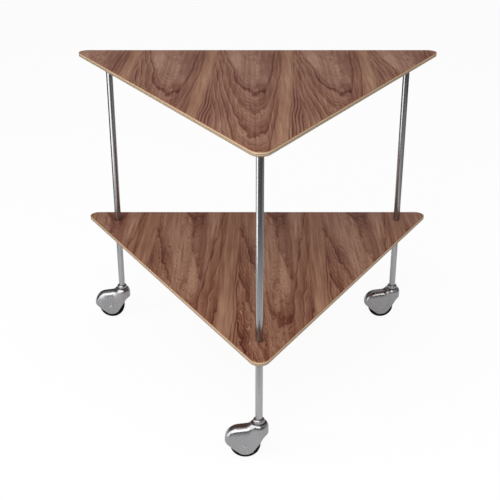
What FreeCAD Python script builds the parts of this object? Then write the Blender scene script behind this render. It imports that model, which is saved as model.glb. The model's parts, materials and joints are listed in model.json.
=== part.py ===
import FreeCAD, Part
import math
import os
import re
import Sketcher

# Rolling side table: two equal triangular plywood shelves on three slim steel legs, each leg on a
# hooded swivel caster. +Z is up, the origin is on the floor under the middle of the shelves'
# outline, the straight back edge lies towards +Y and the front tip towards -Y.

doc = FreeCAD.newDocument("RollingSideTable")

# Driving dimensions in millimetres, angles in degrees. A rise is a height above the wheel's axle.
sizes = {
    # shelves
    "triangle_side": 690.0,
    "corner_radius": 16.0,
    "board_thickness": 7.0,
    "edge_ease": 0.8,
    "top_height": 542.5,
    "lower_height": 213.5,
    # legs and the studs that join them through the lower shelf
    "leg_diameter": 12.0,
    "leg_inset": 64.4,
    "stud_diameter": 6.0,
    "stud_bite": 14.0,
    "stud_hole_clearance": 0.2,
    "tapping_overrun": 2.0,
    # flanges under the top shelf
    "flange_diameter": 44.0,
    "flange_thickness": 3.0,
    "flange_screw_diameter": 5.0,
    "flange_screw_head": 9.4,
    "flange_screw_bite": 14.0,
    "flange_screw_clearance": 0.2,
    "shelf_screw_circle_radius": 15.0,
    "shelf_screw_diameter": 3.2,
    "shelf_screw_head": 6.4,
    "shelf_screw_bite": 5.5,
    # wheel
    "wheel_diameter": 50.0,
    "wheel_width": 17.0,
    "tread_shoulder": 3.0,
    "hub_diameter": 32.0,
    "hub_inset": 1.0,
    "hub_rim": 3.0,
    "hub_web": 5.0,
    "hub_boss_diameter": 13.0,
    "bush_wall": 1.2,
    "axle_diameter": 6.0,
    "axle_clearance": 0.05,
    "axle_head_diameter": 8.0,
    "axle_head_height": 0.9,
    "spacer_diameter": 12.0,
    "spacer_clearance": 0.1,
    # hood
    "caster_trail": 22.0,
    "hood_width": 27.0,
    "crown_radius": 24.25,
    "crown_behind": 9.0,
    "crown_rise": 7.0,
    "crown_slope": 7.7,
    "hood_edge_radius": 11.0,
    "hood_wall": 3.0,
    "well_clearance": 3.0,
    "tail_cut_angle": 37.5,
    "cheek_radius": 16.3,
    "neck_cut_angle": 57.7,
    "neck_radius": 11.0,
    "neck_rise": 20.0,
    "boss_radius": 15.6,
    "boss_wall_rise": 30.5,
    "boss_top_radius": 12.4,
    "boss_top_rise": 38.7,
    "boss_blend_radius": 4.0,
    # swivel
    "stem_diameter": 7.0,
    "stem_seat": 14.0,
    "stem_clearance": 0.05,
    "stem_tip": 1.5,
    "sleeve_wall": 1.0,
    "sleeve_length": 34.0,
    "bore_overrun": 2.0,
    "clip_thickness": 1.0,
    "clip_gap": 0.3,
    "clip_groove_depth": 0.7,
    "clip_bore_clearance": 0.25,
    "clip_mouth": 3.0,
    "ball_diameter": 3.0,
    "ball_circle_radius": 6.5,
    "ball_clearance": 0.05,
    "race_depth": 0.75,
    "race_thickness": 2.0,
    "race_diameter": 16.4,
    "race_bore_clearance": 0.5,
    "cap_height": 7.0,
    "cap_gap": 0.3,
    "cap_clearance": 0.4,
    "cap_wall": 1.0,
    "cap_grip": 1.6,
    # how far a cut runs past the material it clears, and how near a point on a face must lie
    "cut_overrun": 5.0,
    "touch_tolerance": 0.001,
}
ball_pitch_share = 1.12

sheet = doc.addObject("Spreadsheet::Sheet", "Sizes")
for row, (alias, value) in enumerate(sizes.items(), start=1):
    cell = "B%d" % row
    sheet.set(cell, str(value))
    sheet.setAlias(cell, alias)
doc.recompute()

alias_words = re.compile(r"\b(" + "|".join(sizes) + r")\b")


def in_sheet(expression):
    # an expression in plain size names, pointed at the sheet's cells
    return alias_words.sub(r"Sizes.\1", expression)


def value_of(expression):
    return float(sheet.evalExpression(in_sheet(expression)))


def bind(target, path, expression):
    target.setExpression(path, in_sheet(expression))


# Places that several pieces share, written in the sheet's names
wheel_radius = "wheel_diameter / 2"
leg_radius = "leg_diameter / 2"
shelf_middle = "(triangle_side * sqrt(3) / 12 - corner_radius / 2)"
leg_circle = "(triangle_side / sqrt(3) - corner_radius - leg_inset)"
half_spread = leg_circle + " * sqrt(3) / 2"
ball_rise = "(boss_top_rise + ball_diameter / 2 - race_depth)"
race_rise = "(boss_top_rise + ball_diameter - 2 * race_depth)"
leg_end_rise = "(" + race_rise + " + race_thickness)"
sleeve_top_rise = "(" + leg_end_rise + " + sleeve_length)"
clip_rise = "(" + sleeve_top_rise + " + clip_gap)"
clip_top_rise = "(" + clip_rise + " + clip_thickness)"
stem_top_rise = "(" + clip_top_rise + " + stem_tip)"
bore_top_rise = "(" + stem_top_rise + " + bore_overrun)"
sleeve_radius = "(stem_diameter / 2 + stem_clearance + sleeve_wall)"
lower_leg_top_rise = "(lower_height - board_thickness - " + wheel_radius + ")"
upper_leg_length = "(top_height - board_thickness - flange_thickness - lower_height)"
well_width = "(hood_width - 2 * hood_wall)"
bush_radius = "(axle_diameter / 2 + axle_clearance + bush_wall)"
crown_back = "(crown_behind + crown_radius)"
hood_foot = "-(cheek_radius + cut_overrun)"

# Each corner's leg: x, y and the turn of what is laid out round it
corners = {
    "left": ("-" + half_spread, shelf_middle + " + " + leg_circle + " / 2", 150),
    "right": (half_spread, shelf_middle + " + " + leg_circle + " / 2", 30),
    "front": ("0", shelf_middle + " - " + leg_circle, 270),
}


def new_body(label, x="0", y="0", z="0", turn=0):
    body = doc.addObject("PartDesign::Body", label)
    body.Label = label
    body.Placement.Rotation = FreeCAD.Rotation(FreeCAD.Vector(0, 0, 1), turn)
    for axis, expression in (("x", x), ("y", y), ("z", z)):
        bind(body, "Placement.Base." + axis, expression)
    return body


def origin_feature(body, role):
    return next(f for f in body.Origin.OriginFeatures if f.Role == role)


def new_sketch(body, name, role, shift="0"):
    # a sketch on one of the body's own planes, its upright axis moved along by shift
    sketch = body.newObject("Sketcher::SketchObject", body.Label + "_" + name)
    sketch.AttachmentSupport = [(origin_feature(body, role), "")]
    sketch.MapMode = "FlatFace"
    bind(sketch, "AttachmentOffset.Base.x", shift)
    return sketch


def set_size(sketch, constraint, expression):
    index = sketch.addConstraint(constraint)
    name = "size_%d" % index
    sketch.renameConstraint(index, name)
    bind(sketch, "Constraints." + name, expression)


def pin_point(sketch, geometry, end, x, y):
    # hold one end of a line or arc, or a circle's centre, at x and y
    for kind, expression, axis in (("DistanceX", x, -2), ("DistanceY", y, -1)):
        if expression == "0":
            sketch.addConstraint(Sketcher.Constraint("PointOnObject", geometry, end, axis))
            continue
        value = value_of(expression)
        if value < 0:
            constraint = Sketcher.Constraint(kind, geometry, end, -1, 1, -value)
            set_size(sketch, constraint, "-(" + expression + ")")
        else:
            constraint = Sketcher.Constraint(kind, -1, 1, geometry, end, value)
            set_size(sketch, constraint, expression)


def draw_outline(sketch, points):
    # A closed outline. A point is (x, y), or (x, y, radius, turn) where the side that starts there
    # is an arc: turn 1 goes counter-clockwise, -1 clockwise.
    spots = [FreeCAD.Vector(value_of(point[0]), value_of(point[1]), 0) for point in points]
    sides = []
    for index, point in enumerate(points):
        start = spots[index]
        finish = spots[(index + 1) % len(points)]
        if len(point) == 2:
            geometry = sketch.addGeometry(Part.LineSegment(start, finish))
            sides.append((geometry, 1, 2))
            continue
        radius = value_of(point[2])
        turn = point[3]
        chord = finish - start
        square = FreeCAD.Vector(-chord.y, chord.x, 0).normalize()
        reach = math.sqrt(max(radius ** 2 - (chord.Length / 2) ** 2, 0))
        centre = (start + finish) * 0.5 + square * (turn * reach)
        first, last = (start, finish) if turn > 0 else (finish, start)
        circle = Part.Circle(centre, FreeCAD.Vector(0, 0, 1), radius)
        begin = math.atan2(first.y - centre.y, first.x - centre.x)
        end = math.atan2(last.y - centre.y, last.x - centre.x)
        geometry = sketch.addGeometry(Part.ArcOfCircle(circle, begin, end))
        sides.append((geometry, 1, 2) if turn > 0 else (geometry, 2, 1))
        set_size(sketch, Sketcher.Constraint("Radius", geometry, radius), point[2])
    for index, (geometry, start, finish) in enumerate(sides):
        following = sides[(index + 1) % len(sides)]
        sketch.addConstraint(Sketcher.Constraint("Coincident", geometry, finish, following[0], following[1]))
        pin_point(sketch, geometry, start, points[index][0], points[index][1])


def draw_circle(sketch, x, y, radius):
    centre = FreeCAD.Vector(value_of(x), value_of(y), 0)
    circle = Part.Circle(centre, FreeCAD.Vector(0, 0, 1), value_of(radius))
    geometry = sketch.addGeometry(circle)
    set_size(sketch, Sketcher.Constraint("Radius", geometry, value_of(radius)), radius)
    pin_point(sketch, geometry, 3, x, y)


def turn_profile(body, name, sketch, kind="PartDesign::Revolution"):
    feature = body.newObject(kind, body.Label + "_" + name)
    feature.Profile = sketch
    feature.ReferenceAxis = (sketch, ["V_Axis"])
    feature.Angle = 360
    doc.recompute()
    return feature


def cut_sketch(body, name, sketch, length=None, reverse=False):
    # a pocket through everything, or of one length, to both sides unless it is reversed
    pocket = body.newObject("PartDesign::Pocket", body.Label + "_" + name)
    pocket.Profile = sketch
    pocket.Type = "Length" if length else "ThroughAll"
    pocket.SideType = "One side" if reverse else "Symmetric"
    pocket.Reversed = reverse
    if length:
        bind(pocket, "Length", length)
    doc.recompute()
    return pocket


def repeat_round(body, feature, count):
    # the same feature again, count times round the body's upright axis
    pattern = body.newObject("PartDesign::PolarPattern", body.Label + "_ring")
    pattern.Originals = [feature]
    pattern.Axis = (origin_feature(body, "Z_Axis"), [""])
    pattern.Angle = 360
    pattern.Occurrences = count
    body.Tip = pattern
    doc.recompute()
    return pattern


def turned_body(label, outline, role="XZ_Plane", shift="0", **place):
    # a piece turned from one outline of radius and height, or radius and width on the axle
    body = new_body(label, **place)
    sketch = new_sketch(body, "outline", role, shift)
    draw_outline(sketch, outline)
    turn_profile(body, "turned", sketch)
    return body


def screw_outline(shank, head, length, tip):
    # countersunk screw standing head down on its own axis
    slope = "(" + head + " - " + shank + ") / 2"
    return [
        ("0", "0"),
        (head + " / 2", "0"),
        (shank + " / 2", slope),
        (shank + " / 2", length + " - " + tip),
        ("0", length),
    ]


def make_board(label, surface_height):
    # rounded triangle about its own middle, with eased edges
    body = new_body(label, y=shelf_middle, z=surface_height + " - board_thickness")
    sketch = new_sketch(body, "outline", "XY_Plane")
    reach = "(triangle_side / sqrt(3) - 2 * corner_radius)"
    lean_x = "corner_radius * sqrt(3) / 2"
    lean_y = "corner_radius / 2"
    back_x = reach + " * sqrt(3) / 2"
    back_y = reach + " / 2"
    draw_outline(sketch, [
        (back_x + " + " + lean_x, back_y + " - " + lean_y, "corner_radius", 1),
        (back_x, back_y + " + corner_radius"),
        ("-" + back_x, back_y + " + corner_radius", "corner_radius", 1),
        ("-" + back_x + " - " + lean_x, back_y + " - " + lean_y),
        ("-" + lean_x, "-" + reach + " - " + lean_y, "corner_radius", 1),
        (lean_x, "-" + reach + " - " + lean_y),
    ])
    pad = body.newObject("PartDesign::Pad", label + "_board")
    pad.Profile = sketch
    bind(pad, "Length", "board_thickness")
    doc.recompute()
    flat = [edge.BoundBox.ZLength < value_of("touch_tolerance") for edge in pad.Shape.Edges]
    rim = ["Edge%d" % number for number, is_flat in enumerate(flat, 1) if is_flat]
    round_edges(body, "eased", pad, rim, "edge_ease")
    return body


def make_top_shelf():
    # blind pilot holes from below, three at each flange
    body = make_board("top_shelf", "top_height")
    sketch = new_sketch(body, "pilots", "XY_Plane")
    across = "shelf_screw_circle_radius * sqrt(3) / 2"
    inward = "-" + leg_circle + " + shelf_screw_circle_radius / 2"
    outward = "-" + leg_circle + " - shelf_screw_circle_radius"
    draw_circle(sketch, "0", outward, "shelf_screw_diameter / 2")
    draw_circle(sketch, across, inward, "shelf_screw_diameter / 2")
    draw_circle(sketch, "-" + across, inward, "shelf_screw_diameter / 2")
    repeat_round(body, cut_sketch(body, "pilot_holes", sketch, "shelf_screw_bite", reverse=True), 3)


def make_lower_shelf():
    # one clearance hole for each joining stud
    body = make_board("lower_shelf", "lower_height")
    sketch = new_sketch(body, "stud_hole", "XY_Plane")
    draw_circle(sketch, "0", "-" + leg_circle, "stud_diameter / 2 + stud_hole_clearance")
    repeat_round(body, cut_sketch(body, "stud_holes", sketch), 3)


def make_upper_leg(corner, x, y):
    # bar tapped at both ends: stud below, flange screw above
    stud_depth = "stud_bite + tapping_overrun"
    screw_depth = upper_leg_length + " + flange_thickness - flange_screw_bite - tapping_overrun"
    turned_body("upper_leg_" + corner, [
        ("stud_diameter / 2", "0"),
        (leg_radius, "0"),
        (leg_radius, upper_leg_length),
        ("flange_screw_diameter / 2", upper_leg_length),
        ("flange_screw_diameter / 2", screw_depth),
        ("0", screw_depth),
        ("0", stud_depth),
        ("stud_diameter / 2", stud_depth),
    ], x=x, y=y, z="lower_height")


def make_lower_leg(corner, x, y):
    # bar tapped above for the stud and bored below for the swivel sleeve
    stud_end = lower_leg_top_rise + " - stud_bite - tapping_overrun"
    turned_body("lower_leg_" + corner, [
        (sleeve_radius, leg_end_rise),
        (leg_radius, leg_end_rise),
        (leg_radius, lower_leg_top_rise),
        ("stud_diameter / 2", lower_leg_top_rise),
        ("stud_diameter / 2", stud_end),
        ("0", stud_end),
        ("0", bore_top_rise),
        (sleeve_radius, bore_top_rise),
    ], x=x, y=y, z=wheel_radius)


def make_joining_stud(corner, x, y):
    length = "board_thickness + 2 * stud_bite"
    turned_body("joining_stud_" + corner, [
        ("0", "0"),
        ("stud_diameter / 2", "0"),
        ("stud_diameter / 2", length),
        ("0", length),
    ], x=x, y=y, z="lower_height - board_thickness - stud_bite")


def make_flange(corner, x, y, turn):
    # disc with a countersunk middle hole from above and three countersunk holes from below
    height = "top_height - board_thickness - flange_thickness"
    hole = "(flange_screw_diameter / 2 + flange_screw_clearance)"
    body = turned_body("mounting_flange_" + corner, [
        (hole, "0"),
        ("flange_diameter / 2", "0"),
        ("flange_diameter / 2", "flange_thickness"),
        ("flange_screw_head / 2", "flange_thickness"),
        (hole, "flange_thickness - flange_screw_head / 2 + " + hole),
    ], x=x, y=y, z=height, turn=turn)
    sketch = new_sketch(body, "screw_hole", "XZ_Plane", "shelf_screw_circle_radius")
    shank = "shelf_screw_diameter / 2"
    draw_outline(sketch, [
        ("0", "0"),
        ("shelf_screw_head / 2", "0"),
        (shank, "(shelf_screw_head - shelf_screw_diameter) / 2"),
        (shank, "flange_thickness + cut_overrun"),
        ("0", "flange_thickness + cut_overrun"),
    ])
    repeat_round(body, turn_profile(body, "screw_hole_cut", sketch, "PartDesign::Groove"), 3)


def make_flange_screw(corner, x, y):
    # countersunk head flush with the flange's upper face, shank down into the leg
    top = "flange_screw_bite"
    slope = "(flange_screw_head - flange_screw_diameter) / 2"
    turned_body("flange_screw_" + corner, [
        ("0", "0"),
        ("flange_screw_diameter / 2", "0"),
        ("flange_screw_diameter / 2", top + " - " + slope),
        ("flange_screw_head / 2", top),
        ("0", top),
    ], x=x, y=y, z="top_height - board_thickness - flange_screw_bite")


def make_shelf_screws(corner, x, y, turn):
    outline = screw_outline(
        "shelf_screw_diameter", "shelf_screw_head",
        "(flange_thickness + shelf_screw_bite)", "shelf_screw_diameter / 2")
    height = "top_height - board_thickness - flange_thickness"
    body = turned_body("shelf_screws_" + corner, outline,
                       shift="shelf_screw_circle_radius", x=x, y=y, z=height, turn=turn)
    repeat_round(body, body.Tip, 3)


def make_swivel_cap(corner, x, y):
    # spun cup with a rounded shoulder, which grips the leg and covers the bearing
    base = "(boss_top_rise + cap_gap)"
    crown = "(" + base + " + cap_height)"
    inside = "(race_diameter / 2 + cap_clearance)"
    outside = "(" + inside + " + cap_wall)"
    shoulder = "(" + outside + " - " + leg_radius + ")"
    turned_body("swivel_cap_" + corner, [
        (leg_radius, crown + " - cap_grip"),
        (leg_radius, crown, shoulder, -1),
        (outside, crown + " - " + shoulder),
        (outside, base),
        (inside, base),
        (inside, crown + " - " + shoulder, shoulder, 1),
    ], x=x, y=y, z=wheel_radius)


def make_swivel_sleeve(corner, x, y):
    inside = "stem_diameter / 2 + stem_clearance"
    turned_body("swivel_sleeve_" + corner, [
        (inside, leg_end_rise),
        (sleeve_radius, leg_end_rise),
        (sleeve_radius, sleeve_top_rise),
        (inside, sleeve_top_rise),
    ], x=x, y=y, z=wheel_radius)


def make_bearing_race(corner, x, y):
    # washer against the leg's end, grooved below for the balls
    inside = "stem_diameter / 2 + race_bore_clearance"
    body = turned_body("bearing_race_" + corner, [
        (inside, race_rise),
        ("race_diameter / 2", race_rise),
        ("race_diameter / 2", leg_end_rise),
        (inside, leg_end_rise),
    ], x=x, y=y, z=wheel_radius)
    sketch = new_sketch(body, "track", "XZ_Plane")
    draw_circle(sketch, "ball_circle_radius", ball_rise, "ball_diameter / 2 + ball_clearance")
    turn_profile(body, "track_cut", sketch, "PartDesign::Groove")


def make_bearing_balls(corner, x, y):
    # a ring of balls, as many as the circle holds
    room = 2 * math.pi * value_of("ball_circle_radius")
    count = math.floor(room / (value_of("ball_diameter") * ball_pitch_share))
    radius = "ball_diameter / 2"
    body = turned_body("bearing_balls_" + corner, [
        ("0", "-" + radius, radius, 1),
        (radius, "0", radius, 1),
        ("0", radius),
    ], shift="ball_circle_radius", x=x, y=y, z=wheel_radius + " + " + ball_rise)
    repeat_round(body, body.Tip, count)


def make_swivel_stem(corner, x, y):
    # pin fixed in the hood's boss, grooved near its top for the clip
    foot = "boss_top_rise - stem_seat"
    waist = "stem_diameter / 2 - clip_groove_depth"
    turned_body("swivel_stem_" + corner, [
        ("0", foot),
        ("stem_diameter / 2", foot),
        ("stem_diameter / 2", clip_rise),
        (waist, clip_rise),
        (waist, clip_top_rise),
        ("stem_diameter / 2", clip_top_rise),
        ("stem_diameter / 2", stem_top_rise),
        ("0", stem_top_rise),
    ], x=x, y=y, z=wheel_radius)


def make_stem_clip(corner, x, y):
    # open spring ring in the stem's groove, wider than the sleeve's bore
    inside = "stem_diameter / 2 - clip_groove_depth"
    outside = sleeve_radius + " - clip_bore_clearance"
    body = turned_body("stem_clip_" + corner, [
        (inside, clip_rise),
        (outside, clip_rise),
        (outside, clip_top_rise),
        (inside, clip_top_rise),
    ], x=x, y=y, z=wheel_radius)
    sketch = new_sketch(body, "mouth", "XY_Plane")
    draw_outline(sketch, [
        ("0", "-clip_mouth / 2"),
        (sleeve_radius, "-clip_mouth / 2"),
        (sleeve_radius, "clip_mouth / 2"),
        ("0", "clip_mouth / 2"),
    ])
    cut_sketch(body, "mouth_cut", sketch)


def make_hood(corner, x, y):
    # Cast cover about the axle: a block with a rounded crown and a boss for the swivel, trimmed
    # below to its cheeks and hollowed for the wheel.
    body = new_body("caster_hood_" + corner, x=x + " - caster_trail", y=y, z=wheel_radius)
    block = body.newObject("PartDesign::Pad", body.Label + "_block")
    block.Profile = crown_sketch(body)
    block.SideType = "Symmetric"
    bind(block, "Length", "hood_width")
    doc.recompute()
    round_edges(body, "crown_rounded", block, crown_edges(block.Shape), "hood_edge_radius")

    column = new_sketch(body, "boss", "XZ_Plane", "caster_trail")
    taper = "(boss_radius - boss_top_radius)"
    shoulder = "(boss_top_rise - boss_wall_rise)"
    draw_outline(column, [
        ("0", hood_foot),
        ("boss_radius", hood_foot),
        ("boss_radius", "boss_wall_rise", "(%s ^ 2 + %s ^ 2) / (2 * %s)" % (taper, shoulder, taper), 1),
        ("boss_top_radius", "boss_top_rise"),
        ("0", "boss_top_rise"),
    ])
    boss = turn_profile(body, "boss_turned", column)
    round_edges(body, "boss_blended", boss, meeting_edges(boss), "boss_blend_radius")

    cut_sketch(body, "trimmed", cheek_sketch(body))
    well = new_sketch(body, "well", "XZ_Plane")
    draw_circle(well, "0", "0", wheel_radius + " + well_clearance")
    cut_sketch(body, "hollowed", well, well_width)
    hole = new_sketch(body, "axle_hole", "XZ_Plane")
    draw_circle(hole, "0", "0", "axle_diameter / 2")
    cut_sketch(body, "axle_bored", hole)

    socket = new_sketch(body, "socket", "XZ_Plane", "caster_trail")
    foot = "boss_top_rise - stem_seat"
    draw_outline(socket, [
        ("0", foot),
        ("stem_diameter / 2", foot),
        ("stem_diameter / 2", "boss_top_rise + cut_overrun"),
        ("0", "boss_top_rise + cut_overrun"),
    ])
    draw_circle(socket, "ball_circle_radius", ball_rise, "ball_diameter / 2 + ball_clearance")
    turn_profile(body, "socket_cut", socket, "PartDesign::Groove")


def crown_sketch(body):
    # straight up the tail, round over the wheel, then rising gently to the boss's axis
    sketch = new_sketch(body, "crown", "XZ_Plane")
    touch_x = "(-crown_behind - crown_radius * sin(crown_slope))"
    touch_z = "(crown_rise + crown_radius * cos(crown_slope))"
    draw_outline(sketch, [
        ("-" + crown_back, hood_foot),
        ("-" + crown_back, "crown_rise", "crown_radius", -1),
        (touch_x, touch_z),
        ("caster_trail", touch_z + " + (caster_trail - " + touch_x + ") * tan(crown_slope)"),
        ("caster_trail", hood_foot),
    ])
    return sketch


def crown_edges(shape):
    # the edges of both flat sides, but for those at the foot and under the boss
    box = shape.BoundBox
    near = value_of("touch_tolerance")
    names = []
    for number, edge in enumerate(shape.Edges, 1):
        around = edge.BoundBox
        on_side = around.YLength < near
        if on_side and around.ZMax > box.ZMin + near and around.XMin < box.XMax - near:
            names.append("Edge%d" % number)
    return names


def meeting_edges(boss):
    # the edges above the foot where a face of the turned boss meets a face of the block
    shape = boss.Shape
    alone = boss.AddSubShape.copy()
    alone.Placement = boss.Placement
    near = value_of("touch_tolerance")
    names = []
    for number, edge in enumerate(shape.Edges, 1):
        faces = shape.ancestorsOfType(edge, Part.Face)
        turned = [lies_on(face, alone.Shells[0], near) for face in faces]
        if edge.BoundBox.ZMax > shape.BoundBox.ZMin + near and True in turned and False in turned:
            names.append("Edge%d" % number)
    return names


def lies_on(face, skin, near):
    points = face.tessellate(value_of("hood_width"))[0]
    return all(skin.distToShape(Part.Vertex(point))[0] < near for point in points)


def round_edges(body, name, base, edges, radius):
    fillet = body.newObject("PartDesign::Fillet", body.Label + "_" + name)
    fillet.Base = (base, edges)
    bind(fillet, "Radius", radius)
    doc.recompute()


def cheek_sketch(body):
    # everything below the cheeks: down the tail, round under the axle, up to the neck below the boss
    sketch = new_sketch(body, "cheeks", "XZ_Plane")
    back = "(" + crown_back + " + cut_overrun)"
    under = hood_foot + " - cut_overrun"
    tail_x = "(-cheek_radius * sin(tail_cut_angle))"
    tail_z = "(-cheek_radius * cos(tail_cut_angle))"
    bend_z = "(neck_rise - neck_radius)"
    bend_x = "((cheek_radius + neck_radius + " + bend_z + " * cos(neck_cut_angle)) / sin(neck_cut_angle))"
    front = bend_x + " + boss_radius"
    draw_outline(sketch, [
        ("-" + back, tail_z + " + (" + back + " + " + tail_x + ") * tan(tail_cut_angle)"),
        (tail_x, tail_z, "cheek_radius", 1),
        ("cheek_radius * sin(neck_cut_angle)", "-cheek_radius * cos(neck_cut_angle)"),
        (bend_x + " - neck_radius * sin(neck_cut_angle)",
         bend_z + " + neck_radius * cos(neck_cut_angle)", "neck_radius", -1),
        (bend_x, "neck_rise"),
        (front, "neck_rise"),
        (front, under),
        ("-" + back, under),
    ])
    return sketch


def make_axle(corner, x, y):
    # rivet through both cheeks, its domed heads outside them
    side = "(hood_width / 2)"
    dome = "(axle_head_diameter ^ 2 / (8 * axle_head_height) + axle_head_height / 2)"
    turned_body("axle_" + corner, [
        ("0", "-" + side + " - axle_head_height", dome, 1),
        ("axle_head_diameter / 2", "-" + side),
        ("axle_diameter / 2", "-" + side),
        ("axle_diameter / 2", side),
        ("axle_head_diameter / 2", side, dome, 1),
        ("0", side + " + axle_head_height"),
    ], "XY_Plane", x=x + " - caster_trail", y=y, z=wheel_radius)


def make_axle_spacers(corner, x, y):
    # one washer each side, between the wheel and a cheek
    inner = "(wheel_width / 2 + spacer_clearance)"
    outer = "(" + well_width + " / 2 - spacer_clearance)"
    body = new_body("axle_spacers_" + corner, x=x + " - caster_trail", y=y, z=wheel_radius)
    sketch = new_sketch(body, "outline", "XY_Plane")
    for sign in ("", "-"):
        draw_outline(sketch, [
            ("axle_diameter / 2", sign + inner),
            ("spacer_diameter / 2", sign + inner),
            ("spacer_diameter / 2", sign + outer),
            ("axle_diameter / 2", sign + outer),
        ])
    turn_profile(body, "turned", sketch)


def make_wheel_bush(corner, x, y):
    side = "wheel_width / 2"
    inside = "axle_diameter / 2 + axle_clearance"
    turned_body("wheel_bush_" + corner, [
        (inside, "-" + side),
        (bush_radius, "-" + side),
        (bush_radius, side),
        (inside, side),
    ], "XY_Plane", x=x + " - caster_trail", y=y, z=wheel_radius)


def make_wheel_hub(corner, x, y):
    # rim, web and boss in one piece
    side = "wheel_width / 2"
    rim_side = "(wheel_width / 2 - hub_inset)"
    rim_inside = "hub_diameter / 2 - hub_rim"
    turned_body("wheel_hub_" + corner, [
        (bush_radius, "-" + side),
        ("hub_boss_diameter / 2", "-" + side),
        ("hub_boss_diameter / 2", "-hub_web / 2"),
        (rim_inside, "-hub_web / 2"),
        (rim_inside, "-" + rim_side),
        ("hub_diameter / 2", "-" + rim_side),
        ("hub_diameter / 2", rim_side),
        (rim_inside, rim_side),
        (rim_inside, "hub_web / 2"),
        ("hub_boss_diameter / 2", "hub_web / 2"),
        ("hub_boss_diameter / 2", side),
        (bush_radius, side),
    ], "XY_Plane", x=x + " - caster_trail", y=y, z=wheel_radius)


def make_tyre(corner, x, y):
    side = "wheel_width / 2"
    turned_body("tyre_" + corner, [
        ("hub_diameter / 2", "-" + side),
        (wheel_radius + " - tread_shoulder", "-" + side, "tread_shoulder", 1),
        (wheel_radius, "-" + side + " + tread_shoulder"),
        (wheel_radius, side + " - tread_shoulder", "tread_shoulder", 1),
        (wheel_radius + " - tread_shoulder", side),
        ("hub_diameter / 2", side),
    ], "XY_Plane", x=x + " - caster_trail", y=y, z=wheel_radius)


make_top_shelf()
make_lower_shelf()
for corner, (x, y, turn) in corners.items():
    make_upper_leg(corner, x, y)
    make_lower_leg(corner, x, y)
    make_joining_stud(corner, x, y)
    make_flange(corner, x, y, turn)
    make_flange_screw(corner, x, y)
    make_shelf_screws(corner, x, y, turn)
    make_swivel_cap(corner, x, y)
    make_swivel_sleeve(corner, x, y)
    make_bearing_race(corner, x, y)
    make_bearing_balls(corner, x, y)
    make_swivel_stem(corner, x, y)
    make_stem_clip(corner, x, y)
    make_hood(corner, x, y)
    make_axle(corner, x, y)
    make_axle_spacers(corner, x, y)
    make_wheel_bush(corner, x, y)
    make_wheel_hub(corner, x, y)
    make_tyre(corner, x, y)

doc.recompute()
for item in doc.Objects:
    if "Invalid" in item.State or "Error" in item.State:
        raise RuntimeError("%s did not build: %s" % (item.Label, item.State))

bodies = [item for item in doc.Objects if item.TypeId == "PartDesign::Body"]
for body in bodies:
    if body.Shape.isNull() or not body.Shape.isValid() or not body.Shape.Solids:
        raise RuntimeError("%s has no sound shape" % body.Label)

os.makedirs("parts", exist_ok=True)
for body in bodies:
    body.Shape.exportStep("parts/" + body.Label + ".step")
    print(body.Label, len(body.Shape.Solids), "solids,", round(body.Shape.Volume, 1), "mm3")
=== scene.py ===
import json
import math
import bpy
import numpy as np
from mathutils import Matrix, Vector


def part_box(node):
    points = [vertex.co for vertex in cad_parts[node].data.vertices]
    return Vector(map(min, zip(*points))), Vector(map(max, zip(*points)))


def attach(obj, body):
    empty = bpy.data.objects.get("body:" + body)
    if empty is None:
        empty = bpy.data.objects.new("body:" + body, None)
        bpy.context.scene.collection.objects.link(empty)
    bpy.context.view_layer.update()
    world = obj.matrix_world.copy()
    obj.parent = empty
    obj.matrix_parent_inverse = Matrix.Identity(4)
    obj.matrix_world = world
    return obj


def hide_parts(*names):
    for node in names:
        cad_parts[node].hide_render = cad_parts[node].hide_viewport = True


# A triangular side table on casters. Metres, +Z up, the front tip towards -Y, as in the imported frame.
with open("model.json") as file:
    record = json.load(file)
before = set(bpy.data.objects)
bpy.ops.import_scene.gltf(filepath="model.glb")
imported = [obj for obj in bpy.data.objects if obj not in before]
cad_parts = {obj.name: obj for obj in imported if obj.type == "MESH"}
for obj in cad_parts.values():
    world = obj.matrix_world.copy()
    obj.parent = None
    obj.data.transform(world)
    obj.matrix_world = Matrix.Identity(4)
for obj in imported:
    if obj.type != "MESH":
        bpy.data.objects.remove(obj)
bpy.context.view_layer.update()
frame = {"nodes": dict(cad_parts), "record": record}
corners = ("left", "right", "front")
print("frame loaded:", len(frame["nodes"]), "nodes")


# Shader maths

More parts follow.
